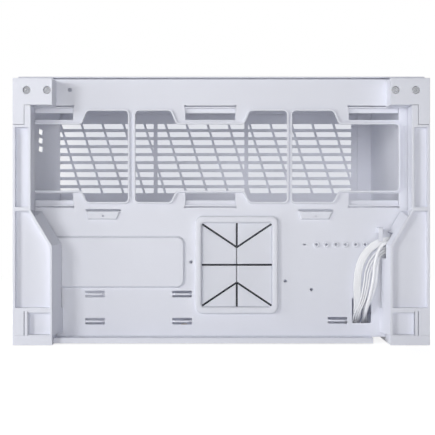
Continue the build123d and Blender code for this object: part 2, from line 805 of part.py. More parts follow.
with BuildPart() as grommet_ring:
    with BuildSketch(face_plane(tray_y)):
        with Locations((grommet_x, grommet_z)):
            RectangleRounded(grommet_wide, grommet_tall, 7.5)
    extrude(amount=ring_height)
    with BuildSketch(face_plane(tray_back)):
        with Locations((grommet_x, grommet_z)):
            RectangleRounded(neck_wide, neck_tall, 5.0)
    extrude(amount=sheet)
    with BuildSketch(face_plane(tray_back + grip)):
        with Locations((grommet_x, grommet_z)):
            RectangleRounded(grommet_wide - 2.0, grommet_tall - 2.0, 6.5)
    extrude(amount=grip)
    with BuildSketch(face_plane(tray_back + grip)):
        with Locations((grommet_x, grommet_z)):
            RectangleRounded(ring_inner_wide, ring_inner_tall, 3.0)
    extrude(amount=grip + sheet + ring_height, mode=Mode.SUBTRACT)
    front_edges = grommet_ring.edges().group_by(Axis.Y)[0]
    fillet(front_edges, ring_height * 0.45)
grommet_ring.part.label = "grommet_ring"
export_step(grommet_ring.part, "parts/grommet_ring.step")

flap_y = tray_y - 0.2
root_u = ring_inner_wide / 2 - flap_thick / 2 - flap_gap
root_v = ring_inner_tall / 2 - flap_thick / 2 - flap_gap
lean_v = (root_v - 0.4 - fork) / root_u
lift = slit / 2 * hypot(1.0, lean_v)


def flap_body(points, root):
    """Leaf of the slit rubber, rounded along the line where it bends."""
    with BuildSketch(face_plane(flap_y + flap_thick / 2)) as leaf:
        frame_of([(grommet_x + u, grommet_z + v) for u, v in points])
    extrude(leaf.sketch, amount=flap_thick, dir=outwards)
    (u0, v0), (u1, v1) = root
    turn = (0, 90, 0) if v0 == v1 else (0, 0, 0)
    with Locations((grommet_x + (u0 + u1) / 2, flap_y, grommet_z + (v0 + v1) / 2)):
        Cylinder(flap_thick / 2, hypot(u1 - u0, v1 - v0), rotation=turn)


def side_flap(sx, sz):
    """Four-sided leaf on the grommet's left or right edge."""
    foot = slit / 2
    tall = fork + lean_v * root_u - lift
    near = fine_slit / 2
    points = [(-root_u, foot), (-near, foot), (-near, fork + lean_v * near - lift), (-root_u, tall)]
    flap_body([(-sx * u, sz * v) for u, v in points], ((sx * root_u, sz * foot), (sx * root_u, sz * tall)))


def edge_flap(sx, sz):
    """Three-sided leaf on the grommet's top or bottom edge."""
    near = slit / 2
    reach = (root_v - fork - lift) / lean_v
    points = [(-near, root_v), (-near, fork + lean_v * near + lift), (-reach, root_v)]
    flap_body([(-sx * u, sz * v) for u, v in points], ((sx * near, sz * root_v), (sx * reach, sz * root_v)))


with BuildPart() as flap_left_high:
    side_flap(-1, 1)
flap_left_high.part.label = "flap_left_high"
export_step(flap_left_high.part, "parts/flap_left_high.step")

with BuildPart() as flap_left_low:
    side_flap(-1, -1)
flap_left_low.part.label = "flap_left_low"
export_step(flap_left_low.part, "parts/flap_left_low.step")

with BuildPart() as flap_right_high:
    side_flap(1, 1)
flap_right_high.part.label = "flap_right_high"
export_step(flap_right_high.part, "parts/flap_right_high.step")

with BuildPart() as flap_right_low:
    side_flap(1, -1)
flap_right_low.part.label = "flap_right_low"
export_step(flap_right_low.part, "parts/flap_right_low.step")

with BuildPart() as flap_top_left:
    edge_flap(-1, 1)
flap_top_left.part.label = "flap_top_left"
export_step(flap_top_left.part, "parts/flap_top_left.step")

with BuildPart() as flap_top_right:
    edge_flap(1, 1)
flap_top_right.part.label = "flap_top_right"
export_step(flap_top_right.part, "parts/flap_top_right.step")

with BuildPart() as flap_bottom_left:
    edge_flap(-1, -1)
flap_bottom_left.part.label = "flap_bottom_left"
export_step(flap_bottom_left.part, "parts/flap_bottom_left.step")

with BuildPart() as flap_bottom_right:
    edge_flap(1, -1)
flap_bottom_right.part.label = "flap_bottom_right"
export_step(flap_bottom_right.part, "parts/flap_bottom_right.step")

# Leads: from the socket board, out of the front pillar and through the cable hole to their plugs
lead_start = board_x - board_thick


def from_end(points):
    """Route points given as distance in from the front end, depth in front of the tray, and height."""
    return [(end_x - d, tray_y - depth, z) for d, depth, z in points]


def turn_at(a, b, c):
    """Angle by which a route turns at its point b, in radians."""
    p = b - a
    q = c - b
    return acos(max(-1.0, min(1.0, p.dot(q) / (p.length * q.length))))


def lead_radii(name, points):
    """Arc at each corner: 0.45 of the shorter run over the tangent of half the turn."""
    corners = [Vector(*point) for point in points]
    radii = []
    for a, b, c in zip(corners, corners[1:], corners[2:]):
        radii.append(0.45 * min((b - a).length, (c - b).length) / tan(turn_at(a, b, c) / 2))
    print(name, "radii", [round(r, 1) for r in radii])
    return radii


lead_in = end_x - lead_start
rest_gap = 0.3
flat_rest = floor_top + flat_thick / 2 + rest_gap
inner_rest = floor_top + inner_thick / 2 + rest_gap
round_rest = floor_top + round_d / 2
thin_rest = floor_top + thin_d / 2
plug_in = 220.0
plug_bite = 2.5
thin_line = 14.6
outer_line = 71.5
round_line = 84.5
inner_line = 97.5

outer_route = from_end([
    (lead_in, 6.1, 111.5),
    (44.0, 6.1, 111.5),
    (61.5, 6.1, 102.5),
    (71.5, 6.1, 85.0),
    (74.0, 6.1, 65.0),
    (73.2, 6.1, 45.0),
    (72.7, -2.5, 30.0),
    (72.7, -16.5, 19.5),
    (72.7, -31.5, flat_rest),
    (73.4, -45.5, flat_rest),
    (82.0, 10.0 - outer_line, flat_rest),
    (99.0, 1.0 - outer_line, flat_rest),
    (123.0, -0.6 - outer_line, flat_rest),
    (149.0, 0.8 - outer_line, flat_rest),
    (184.0, -0.6 - outer_line, flat_rest),
    (plug_in + plug_bite, -outer_line, flat_rest + 0.6),
])
inner_route = from_end([
    (lead_in, 3.0, 103.0),
    (37.0, 3.0, 103.0),
    (51.0, 3.0, 96.0),
    (56.5, 3.0, 80.0),
    (59.5, 3.0, 62.0),
    (64.0, 3.0, 45.0),
    (64.4, -6.5, 33.0),
    (60.5, -21.5, 22.0),
    (57.7, -37.0, inner_rest),
    (58.0, -53.5, inner_rest),
    (63.0, -71.5, inner_rest),
    (76.0, 11.0 - inner_line, inner_rest),
    (96.0, 2.0 - inner_line, inner_rest),
    (122.0, -0.4 - inner_line, inner_rest),
    (152.0, 0.8 - inner_line, inner_rest),
    (186.0, -0.6 - inner_line, inner_rest),
    (plug_in + plug_bite, -inner_line, inner_rest + 0.6),
])
round_route = from_end([
    (lead_in, 11.2, 110.0),
    (40.0, 11.2, 110.0),
    (50.5, 11.2, 104.0),
    (55.5, 11.2, 88.0),
    (57.0, 11.2, 68.0),
    (61.0, 11.2, 50.0),
    (64.5, 7.5, 36.0),
    (64.5, -6.0, 26.0),
    (64.6, -21.5, 18.0),
    (64.4, -37.5, round_rest),
    (66.0, -55.5, round_rest),
    (74.0, 12.0 - round_line, round_rest),
    (92.0, 2.0 - round_line, round_rest),
    (118.0, -0.6 - round_line, round_rest),
    (150.0, 0.8 - round_line, round_rest),
    (186.0, -0.6 - round_line, round_rest),
    (plug_in + plug_bite, -round_line, round_rest + 0.6),
])


def thin_route(index):
    """Thin leads lie inside the flat lead's bow, cross in front of its foot and turn off first."""
    o = 6.8 + 2.6 * index
    k = 2.4 * index
    w = thin_line + 2.6 * index
    return from_end([
        (lead_in, 6.1, 111.5 - o),
        (44.0 - 0.2 * o, 6.1, 111.5 - o),
        (61.5 - 0.8 * o, 6.1, 102.5 - 0.9 * o),
        (71.5 - o, 7.4, 85.0 - 0.5 * o),
        (74.0 - o, 9.8, 64.0),
        (75.5 - 0.8 * o, 9.8, 46.0),
        (76.6 - k, 7.0, 33.0),
        (76.6 - k, -4.5, 24.6),
        (78.4 - k, 2.6 - w, 15.8),
        (88.0 - k, -0.3 - w, thin_rest + 0.2),
        (106.0, 0.4 - w, thin_rest),
        (132.0, -0.8 - w, thin_rest),
        (158.0, 0.2 - w, thin_rest),
        (186.0, -0.6 - w, thin_rest),
        (plug_in + plug_bite, -w, thin_rest + 1.8),
    ])


def route_length(points, radii):
    """Length of a route of straight runs and tangent arcs."""
    corners = [Vector(*point) for point in points]
    total = sum((b - a).length for a, b in zip(corners, corners[1:]))
    for a, b, c, r in zip(corners, corners[1:], corners[2:], radii):
        turn = turn_at(a, b, c)
        total += r * turn - 2 * r * tan(turn / 2)
    return total


def lead_body(name, points, wide, thick):
    """Lead along its route: straight runs are extruded and arcs revolved, so the section never twists."""
    radii = lead_radii(name, points)
    print(name, "length", round(route_length(points, radii), 1))
    corners = [Vector(*point) for point in points]
    plane = Plane(origin=points[0], x_dir=(0, 0, 1), z_dir=(-1, 0, 0))
    used = 0.0
    for a, b, c, radius in zip(corners, corners[1:], corners[2:] + [None], radii + [0.0]):
        heading = (b - a).normalized()
        turn = 0.0 if c is None else turn_at(a, b, c)
        cut = radius * tan(turn / 2)
        run = (b - a).length - used - cut
        with BuildSketch(plane) as section:
            lead_section(wide, thick)
        extrude(section.sketch, amount=run, dir=heading)
        used = cut
        if c is None:
            break
        origin = plane.origin + heading * run
        normal = heading.cross(c - b).normalized()
        hub = origin + normal.cross(heading) * radius
        bend = Axis(hub, normal)
        with BuildSketch(Plane(origin=origin, x_dir=plane.x_dir, z_dir=heading)) as section:
            lead_section(wide, thick)
        revolve(section.sketch, axis=bend, revolution_arc=degrees(turn))
        plane = Plane(
            origin=hub + (origin - hub).rotate(bend, degrees(turn)),
            x_dir=plane.x_dir.rotate(bend, degrees(turn)),
            z_dir=(c - b).normalized(),
        )


def lead_section(wide, thick):
    """Round section, or a flat one with rounded edges."""
    if wide == thick:
        Circle(wide / 2)
    else:
        RectangleRounded(wide, thick, thick * 0.45)


with BuildPart() as lead_flat_outer:
    lead_body("lead_flat_outer", outer_route, flat_wide, flat_thick)
lead_flat_outer.part.label = "lead_flat_outer"
export_step(lead_flat_outer.part, "parts/lead_flat_outer.step")

with BuildPart() as lead_flat_inner:
    lead_body("lead_flat_inner", inner_route, inner_wide, inner_thick)
lead_flat_inner.part.label = "lead_flat_inner"
export_step(lead_flat_inner.part, "parts/lead_flat_inner.step")

with BuildPart() as lead_round:
    lead_body("lead_round", round_route, round_d, round_d)
lead_round.part.label = "lead_round"
export_step(lead_round.part, "parts/lead_round.step")

with BuildPart() as lead_thin_a:
    lead_body("lead_thin_a", thin_route(0), thin_d, thin_d)
lead_thin_a.part.label = "lead_thin_a"
export_step(lead_thin_a.part, "parts/lead_thin_a.step")

with BuildPart() as lead_thin_b:
    lead_body("lead_thin_b", thin_route(1), thin_d, thin_d)
lead_thin_b.part.label = "lead_thin_b"
export_step(lead_thin_b.part, "parts/lead_thin_b.step")

with BuildPart() as lead_thin_c:
    lead_body("lead_thin_c", thin_route(2), thin_d, thin_d)
lead_thin_c.part.label = "lead_thin_c"
export_step(lead_thin_c.part, "parts/lead_thin_c.step")


def plug_body(depth, wide, long, tall, pins):
    """Board plug lying on the floor, with a row of pin holes in its far end."""
    x = end_x - plug_in
    y = tray_y + depth
    block(x - long, x, y - wide / 2, y + wide / 2, floor_top, floor_top + tall)
    for i in range(pins):
        py = y + (i - (pins - 1) / 2) * 2.0
        block(x - long - 1.0, x - long + 5.0, py - 0.6, py + 0.6,
              floor_top + tall / 2 - 0.6, floor_top + tall / 2 + 0.6, mode=Mode.SUBTRACT)


with BuildPart() as data_plug:
    plug_body(outer_line, 12.0, 16.0, 6.0, 5)
data_plug.part.label = "data_plug"
export_step(data_plug.part, "parts/data_plug.step")

with BuildPart() as switch_plug:
    plug_body(thin_line + 2.6, 9.0, 14.0, 5.6, 4)
switch_plug.part.label = "switch_plug"
export_step(switch_plug.part, "parts/switch_plug.step")

with BuildPart() as round_plug:
    plug_body(round_line, 8.0, 16.0, 6.6, 3)
round_plug.part.label = "round_plug"
export_step(round_plug.part, "parts/round_plug.step")

with BuildPart() as audio_plug:
    plug_body(inner_line, 11.6, 14.0, 5.6, 5)
audio_plug.part.label = "audio_plug"
export_step(audio_plug.part, "parts/audio_plug.step")

# Clip that keeps the leads against the tray where they come out of the pillar
clip_x = end_x - 50.0
clip_reach = 15.6

with BuildPart() as lead_clip:
    block(clip_x - 2.2, clip_x + 2.2, tray_y - clip_reach, tray_y, outlet_high - 0.5, outlet_high + 5.5)
    block(clip_x - 2.2, clip_x + 2.2, tray_y - clip_reach, tray_y - clip_reach + 1.6,
          outlet_high - 9.0, outlet_high + 5.5)
    fillet(lead_clip.edges().filter_by(Axis.X).group_by(Axis.Y)[0].sort_by(Axis.Z)[-1], 1.2)
lead_clip.part.label = "lead_clip"
export_step(lead_clip.part, "parts/lead_clip.step")
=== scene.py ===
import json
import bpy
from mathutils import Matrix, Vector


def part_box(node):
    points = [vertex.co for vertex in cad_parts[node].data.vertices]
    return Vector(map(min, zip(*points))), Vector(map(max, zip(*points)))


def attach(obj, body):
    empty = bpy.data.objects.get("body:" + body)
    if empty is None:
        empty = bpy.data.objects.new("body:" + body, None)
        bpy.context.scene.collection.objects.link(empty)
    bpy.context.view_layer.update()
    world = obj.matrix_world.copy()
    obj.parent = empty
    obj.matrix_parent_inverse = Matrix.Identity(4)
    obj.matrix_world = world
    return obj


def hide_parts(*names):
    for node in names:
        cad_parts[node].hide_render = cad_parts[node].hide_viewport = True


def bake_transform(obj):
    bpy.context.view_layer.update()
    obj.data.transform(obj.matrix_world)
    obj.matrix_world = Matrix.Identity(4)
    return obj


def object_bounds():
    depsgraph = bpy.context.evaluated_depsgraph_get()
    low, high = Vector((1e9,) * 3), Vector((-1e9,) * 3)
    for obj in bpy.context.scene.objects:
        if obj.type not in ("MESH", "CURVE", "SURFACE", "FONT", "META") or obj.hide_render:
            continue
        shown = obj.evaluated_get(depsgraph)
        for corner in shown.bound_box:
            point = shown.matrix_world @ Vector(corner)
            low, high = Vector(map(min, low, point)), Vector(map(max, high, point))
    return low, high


bl_info = {
    "name": "Computer case, cable side",
    "version": (1, 0, 0),
    "blender": (4, 5, 0),
    "location": "View3D > Sidebar > Case",
    "description": "Finishes, leads, rubber leaves, light and camera of an open computer case",
    "category": "Object",
}

from math import hypot, radians

import bpy
import numpy as np
from bpy.props import FloatProperty, FloatVectorProperty, IntProperty, PointerProperty
from bpy.types import Operator, Panel, PropertyGroup

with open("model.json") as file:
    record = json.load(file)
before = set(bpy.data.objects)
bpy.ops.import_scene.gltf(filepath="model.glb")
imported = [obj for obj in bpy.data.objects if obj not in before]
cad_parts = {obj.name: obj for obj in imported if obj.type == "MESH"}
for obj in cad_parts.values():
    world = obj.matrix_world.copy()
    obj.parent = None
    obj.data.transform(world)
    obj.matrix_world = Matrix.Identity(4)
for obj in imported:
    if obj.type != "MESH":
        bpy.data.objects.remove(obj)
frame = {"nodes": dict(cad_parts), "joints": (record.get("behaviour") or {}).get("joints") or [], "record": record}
CAD_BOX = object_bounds()
NODES = frame["nodes"]
MM = 0.001

# Places that the frame gives: the front end, the tray's face, the floor, the socket board and the nearest face
END_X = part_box("front_rail")[1][0]
TRAY_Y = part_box("rear_pillar")[1][1]
FLOOR_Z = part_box("standoffs")[0][2]
LEAD_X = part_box("socket_board")[0][0]
NEAR_Y = CAD_BOX[0][1]


# Settings


def colour_property(label, words, value):
    """Colour setting with its default."""
    return FloatVectorProperty(
        name=label, description=words, subtype="COLOR", size=3, min=0.0, max=1.0, default=value
    )


class CaseColours(PropertyGroup):
    """Colours of the case's finishes, in linear light."""

    steel: colour_property("Steel", "Powder coat of the pressed panels", (0.82, 0.835, 0.915))
    plastic: colour_property("Plastic", "Pillars, corner blocks and rails", (0.83, 0.845, 0.925))
    rubber: colour_property("Rubber", "Ring and leaves of the grommet", (0.82, 0.835, 0.91))
    jacket: colour_property("Jacket", "Cable jackets", (0.96, 0.97, 1.0))
    pad: colour_property("Pad", "Foot pads", (0.10, 0.10, 0.11))
    metal: colour_property("Metal", "Screws, rivets and studs", (0.33, 0.337, 0.36))
    brass: colour_property("Brass", "Standoffs", (0.62, 0.46, 0.22))
    # Painted shade: the slit walls are nearly black so that the grommet's cuts look dark
    slit: colour_property("Slit", "Walls of the grommet's cuts", (0.013, 0.0145, 0.022))
    dark: colour_property("Dark", "Board and sockets", (0.02, 0.022, 0.028))


class CaseSizes(PropertyGroup):
    """Sizes of the finishes' grain and of the soft pieces."""

    grain: FloatProperty(name="Grain", description="Grain of the powder coat per metre", default=1500.0)
    edge: FloatProperty(
        name="Edge", description="Radius that breaks the edges", unit="LENGTH", default=0.8 * MM
    )
    rib: FloatProperty(
        name="Rib", description="Depth of a flat lead's grooves, as a share", subtype="FACTOR", default=0.22
    )
    curl: FloatProperty(
        name="Curl", description="How far the leaves curl towards the viewer", unit="LENGTH", default=0.5 * MM
    )
    steps: IntProperty(name="Steps", description="Grid steps across a leaf", default=26)


class CaseLight(PropertyGroup):
    """Lamps and camera."""

    key: FloatProperty(name="Key", description="Soft lamp at the left", unit="POWER", default=12.0)
    side: FloatProperty(name="Side", description="Soft lamp beside the left end", unit="POWER", default=8.0)
    front: FloatProperty(name="Front", description="Soft lamp behind the camera", unit="POWER", default=6.2)
    top: FloatProperty(name="Top", description="Soft lamp overhead", unit="POWER", default=8.0)
    fill: FloatProperty(name="Fill", description="Soft lamp beyond the right end", unit="POWER", default=6.0)
    back: FloatProperty(name="Back", description="Soft lamp behind the case", unit="POWER", default=13.0)
    sky: FloatProperty(name="Sky", description="Even light from all round", default=0.06)
    distance: FloatProperty(
        name="Distance", description="From the camera to the case's face", unit="LENGTH", default=0.97
    )
    height: FloatProperty(name="Height", description="Camera height", unit="LENGTH", default=0.1412)
    lens: FloatProperty(
        name="Lens", description="Focal length on a sensor 36 mm wide", unit="CAMERA", default=76.16
    )
    shift_x: FloatProperty(name="Shift X", description="Sideways framing shift", default=-0.00874)
    shift_y: FloatProperty(name="Shift Y", description="Upright framing shift", default=-0.01264)


# Finishes

# Grain of every finish: detail of the fine noise, scale per metre and detail of the slow one, swing of the
# gloss, strength of the bump, samples of the broken edges, and the usual strength of the shine
FINE_DETAIL = 3.0
SLOW_SCALE = 11.0
SLOW_DETAIL = 4.0
GLOSS_SWING = 0.07
BUMP_STRENGTH = 0.35
EDGE_SAMPLES = 4
SHINE = 0.5

# Finish of each slot: material, colour, roughness, grain as a share of the setting, bump height, change of
# tone, edge as a share of the setting, and metal
FINISHES = {
    "white_steel": ("white_powder_coat", "steel", 0.47, 1.0, 0.05 * MM, 0.03, 1.0, 0.0),
    "white_plastic": ("white_moulding", "plastic", 0.42, 0.7, 0.04 * MM, 0.03, 1.0, 0.0),
    "pale_rubber": ("grommet_rubber", "rubber", 0.72, 0.5, 0.05 * MM, 0.05, 1.0, 0.0),
    "white_jacket": ("lead_jacket", "jacket", 0.30, 0.6, 0.03 * MM, 0.04, 0.0, 0.0),
    "pale_plug": ("plug_moulding", "plastic", 0.40, 0.6, 0.03 * MM, 0.03, 0.5, 0.0),
    "foot_rubber": ("pad_rubber", "pad", 0.85, 0.5, 0.08 * MM, 0.2, 1.0, 0.0),
    "plain_steel": ("zinc_plate", "metal", 0.26, 1.4, 0.02 * MM, 0.08, 0.6, 1.0),
    "standoff_brass": ("turned_brass", "brass", 0.34, 1.2, 0.02 * MM, 0.1, 0.6, 1.0),
    "clip_plastic": ("clip_moulding", "plastic", 0.42, 0.6, 0.03 * MM, 0.03, 0.6, 0.0),
    "board_laminate": ("glass_laminate", "dark", 0.45, 0.4, 0.03 * MM, 0.3, 0.0, 0.0),
    "dark_plastic": ("dark_moulding", "dark", 0.5, 0.6, 0.03 * MM, 0.2, 0.5, 0.0),
    "socket_shell": ("shell_plate", "metal", 0.3, 1.4, 0.02 * MM, 0.06, 0.4, 1.0),
    "button_plastic": ("button_moulding", "plastic", 0.28, 0.5, 0.02 * MM, 0.02, 0.6, 0.0),
}

# The walls of the slits carry painted shade: dull and dark, so that the cuts look dark; the grommet's ring is
# glossier and rounder than its leaves
SLIT_SHADE_FINISH = ("slit_wall", "slit", 0.8, 0.5, 0.05 * MM, 0.2, 0.0, 0.0)
RING_FINISH = ("ring_rubber", "rubber", 0.45, 0.5, 0.05 * MM, 0.03, 3.5, 0.0)


def new_material(name):
    """Plain node material, its node tree and its shader."""
    material = bpy.data.materials.new(name)
    material.use_nodes = True
    tree = material.node_tree
    return material, tree, tree.nodes["Principled BSDF"]


def grained(name, colour, rough, grain, height, mottle, edge, metallic, shine):
    """Finish with a fine grain in its bump and gloss and a faint slow change of tone.

    tone = colour * (1 - mottle * slow noise); bump = fine noise * height; edges are softened by edge.
    """
    material, tree, shader = new_material(name)
    nodes, links = tree.nodes, tree.links
    place = nodes.new("ShaderNodeTexCoord")
    fine = nodes.new("ShaderNodeTexNoise")
    fine.inputs["Scale"].default_value = grain
    fine.inputs["Detail"].default_value = FINE_DETAIL
    slow = nodes.new("ShaderNodeTexNoise")
    slow.inputs["Scale"].default_value = SLOW_SCALE
    slow.inputs["Detail"].default_value = SLOW_DETAIL
    links.new(place.outputs["Object"], fine.inputs["Vector"])
    links.new(place.outputs["Object"], slow.inputs["Vector"])
    tone = nodes.new("ShaderNodeMix")
    tone.data_type = "RGBA"
    tone.inputs["A"].default_value = (*colour, 1.0)
    tone.inputs["B"].default_value = (*(c * (1.0 - mottle) for c in colour), 1.0)
    links.new(slow.outputs["Fac"], tone.inputs["Factor"])
    links.new(tone.outputs["Result"], shader.inputs["Base Color"])
    gloss = nodes.new("ShaderNodeMapRange")
    gloss.inputs["To Min"].default_value = rough - GLOSS_SWING
    gloss.inputs["To Max"].default_value = rough + GLOSS_SWING
    links.new(fine.outputs["Fac"], gloss.inputs["Value"])
    links.new(gloss.outputs["Result"], shader.inputs["Roughness"])
    bump = nodes.new("ShaderNodeBump")
    bump.inputs["Strength"].default_value = BUMP_STRENGTH
    bump.inputs["Distance"].default_value = height
    links.new(fine.outputs["Fac"], bump.inputs["Height"])
    if edge > 0.0:
        soft = nodes.new("ShaderNodeBevel")
        soft.samples = EDGE_SAMPLES
        soft.inputs["Radius"].default_value = edge
        links.new(soft.outputs["Normal"], bump.inputs["Normal"])
    links.new(bump.outputs["Normal"], shader.inputs["Normal"])
    shader.inputs["Metallic"].default_value = metallic
    shader.inputs["Specular IOR Level"].default_value = shine
    return material


def finish(scene, row, shine=SHINE):
    """Material of one row of finishes, with the scene's colours and sizes."""
    name, colour, rough, grain, height, mottle, edge, metallic = row
    sizes = scene.case_sizes
    tint = getattr(scene.case_colours, colour)
    return grained(name, tint, rough, sizes.grain * grain, height, mottle, sizes.edge * edge, metallic, shine)


# Shapes


def show(name, data):
    """New object at the origin, in the scene."""
    obj = bpy.data.objects.new(name, data)
    bpy.context.scene.collection.objects.link(obj)
    return obj


def unit(v):
    """Vectors of length one."""
    return v / np.linalg.norm(v, axis=-1, keepdims=True)


def from_end(points):
    """Route points in metres.

    They are given in millimetres: in from the front end, out from the tray's face, and height.
    """
    inward, depth, z = np.array(points, dtype=float).T * MM
    return np.stack([END_X - inward, TRAY_Y - depth, z], axis=1)


# Steps of a route's curve between two of its points, and of a round lead's quarter
ROUTE_STEPS = 14
ROUND_STEPS = 5


def route_spline(name, points, radius):
    """Smooth curve of the second degree whose control points are the route's own points."""
    curve = bpy.data.curves.new(name, "CURVE")
    curve.dimensions = "3D"
    spline = curve.splines.new("NURBS")
    spline.points.add(len(points) - 1)
    spline.points.foreach_set("co", np.column_stack([points, np.ones(len(points))]).ravel())
    spline.order_u = 3
    spline.use_endpoint_u = True
    curve.resolution_u = ROUTE_STEPS
    curve.bevel_depth = radius
    curve.bevel_resolution = ROUND_STEPS
    curve.use_fill_caps = radius > 0.0
    return show(name, curve)


def spline_points(points):
    """Points along the route's smooth curve."""
    guide = route_spline("guide", points, 0.0)
    mesh = bpy.data.meshes.new_from_object(guide)
    line = np.empty(len(mesh.vertices) * 3)
    mesh.vertices.foreach_get("co", line)
    curve = guide.data
    bpy.data.objects.remove(guide)
    bpy.data.curves.remove(curve)
    bpy.data.meshes.remove(mesh)
    return line.reshape(-1, 3)


def tube_mesh(name, rings):
    """Closed tube from an array of rings (along, around, 3), with flat caps."""
    n, m, _ = rings.shape
    i, j = np.meshgrid(np.arange(n - 1), np.arange(m), indexing="ij")
    k = (j + 1) % m
    quads = np.stack([i * m + j, (i + 1) * m + j, (i + 1) * m + k, i * m + k], axis=-1).reshape(-1, 4)
    mesh = bpy.data.meshes.new(name)
    caps = [list(range(m)), list(range(n * m - 1, (n - 1) * m - 1, -1))]
    mesh.from_pydata(rings.reshape(-1, 3).tolist(), [], quads.tolist() + caps)
    mesh.polygons.foreach_set("use_smooth", np.r_[np.ones(len(quads), bool), False, False])
    mesh.update()
    return mesh


# Flat leads turn level from this far in front of the tray's face, over this length, and have a section of so
# many points, whose sides are rounded by this power
TURN_FROM = 6.0 * MM
TURN_OVER = 26.0 * MM
SECTION_POINTS = 40
SECTION_POWER = 0.4


def ribbon_rings(line, wide, thick, cores, rib):
    """Flat lead: a section of joined cores carried along the line.

    Across: x = wide / 2 * cos(t).
    Through: y = thick / 2 * sin(t)^power * (1 - rib * (1 - |sin(pi * cores * (x / wide + 1 / 2))|)), where the
    power keeps the sign. The flat side faces the tray on the way down and the floor after the hole.
    """
    along = unit(np.gradient(line, axis=0))
    past = np.clip((line[:, 1] - TRAY_Y + TURN_FROM) / TURN_OVER, 0.0, 1.0)
    past = (past * past * (3.0 - 2.0 * past))[:, None]
    facing = (1.0 - past) * np.array([0.0, 1.0, 0.0]) + past * np.array([0.0, 0.0, 1.0])
    across = unit(np.cross(along, facing))
    through = np.cross(across, along)
    t = np.linspace(0.0, 2.0 * np.pi, SECTION_POINTS, endpoint=False)
    x = wide / 2.0 * np.cos(t)
    groove = 1.0 - rib * (1.0 - np.abs(np.sin(np.pi * cores * (x / wide + 0.5))))
    y = thick / 2.0 * np.sign(np.sin(t)) * np.abs(np.sin(t)) ** SECTION_POWER * groove
    return line[:, None, :] + x[None, :, None] * across[:, None, :] + y[None, :, None] * through[:, None, :]


# Leads. All places are in millimetres, as from_end takes them.

# Where the leads leave the socket board, how far they reach into their plugs, and the floor they lie on
LEAD_IN = (END_X - LEAD_X) / MM
PLUG_GRIP = 2.5
PLUG_IN = (END_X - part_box("data_plug")[1][0]) / MM + PLUG_GRIP
FLOOR = FLOOR_Z / MM

# Height of each lead's middle on the floor
OUTER_REST = FLOOR + 1.4
INNER_REST = FLOOR + 1.3
ROUND_REST = FLOOR + 1.9
THIN_REST = FLOOR + 0.9

# How far each lead lies in front of the tray, and the height at which it leaves the board
OUTER_OUT, OUTER_TOP = 6.1, 111.5
INNER_OUT, INNER_TOP = 3.0, 103.0
ROUND_OUT, ROUND_TOP = 11.2, 110.0


def plug_row(plug):
    """Place of a plug's middle across the case, as a depth in front of the tray."""
    low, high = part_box(plug)
    return (TRAY_Y - (low[1] + high[1]) / 2.0) / MM


OUTER_ROW = plug_row("data_plug")
INNER_ROW = plug_row("audio_plug")
ROUND_ROW = plug_row("round_plug")
THIN_ROW = plug_row("switch_plug")

# Each route runs down in front of the tray, through the cable hole, in a bow over the floor and to its plug
OUTER_ROUTE = [
    (LEAD_IN, OUTER_OUT, OUTER_TOP), (44.0, OUTER_OUT, OUTER_TOP), (61.5, OUTER_OUT, 102.5),
    (71.5, OUTER_OUT, 85.0), (74.0, OUTER_OUT, 65.0), (73.2, OUTER_OUT, 45.0),
    (72.7, -2.5, 30.0), (72.7, -16.5, 19.5), (72.7, -31.5, OUTER_REST),
    (73.4, -45.5, OUTER_REST), (82.0, -61.5, OUTER_REST), (99.0, -70.5, OUTER_REST),
    (123.0, OUTER_ROW - 0.6, OUTER_REST), (149.0, OUTER_ROW + 0.8, OUTER_REST),
    (184.0, OUTER_ROW - 0.6, OUTER_REST), (PLUG_IN, OUTER_ROW, OUTER_REST + 0.6),
]
INNER_ROUTE = [
    (LEAD_IN, INNER_OUT, INNER_TOP), (37.0, INNER_OUT, INNER_TOP), (49.5, INNER_OUT, 98.0),
    (53.0, INNER_OUT, 82.0), (54.0, INNER_OUT, 64.0), (60.0, INNER_OUT, 46.0),
    (64.4, -6.5, 33.0), (60.5, -21.5, 22.0), (57.7, -37.0, INNER_REST),
    (58.0, -53.5, INNER_REST), (63.0, -71.5, INNER_REST), (76.0, -86.5, INNER_REST), (96.0, -95.5, INNER_REST),
    (122.0, INNER_ROW - 0.4, INNER_REST), (152.0, INNER_ROW + 0.8, INNER_REST),
    (186.0, INNER_ROW - 0.6, INNER_REST), (PLUG_IN, INNER_ROW, INNER_REST + 0.6),
]
ROUND_ROUTE = [
    (LEAD_IN, ROUND_OUT, ROUND_TOP), (40.0, ROUND_OUT, ROUND_TOP), (50.5, ROUND_OUT, 104.0),
    (55.5, ROUND_OUT, 88.0), (57.0, ROUND_OUT, 68.0), (61.0, ROUND_OUT, 50.0),
    (64.5, 7.5, 36.0), (64.5, -6.0, 26.0), (64.6, -21.5, 18.0), (64.4, -37.5, ROUND_REST),
    (66.0, -55.5, ROUND_REST), (74.0, -72.5, ROUND_REST), (92.0, -82.5, ROUND_REST),
    (118.0, ROUND_ROW - 0.6, ROUND_REST), (150.0, ROUND_ROW + 0.8, ROUND_REST),
    (186.0, ROUND_ROW - 0.6, ROUND_REST), (PLUG_IN, ROUND_ROW, ROUND_REST + 0.6),
]

# First thin lead's distance inside the outer flat lead, and the pitch of the three there and at the foot
THIN_FIRST = 6.8
THIN_PITCH = 2.6
FOOT_PITCH = 2.4


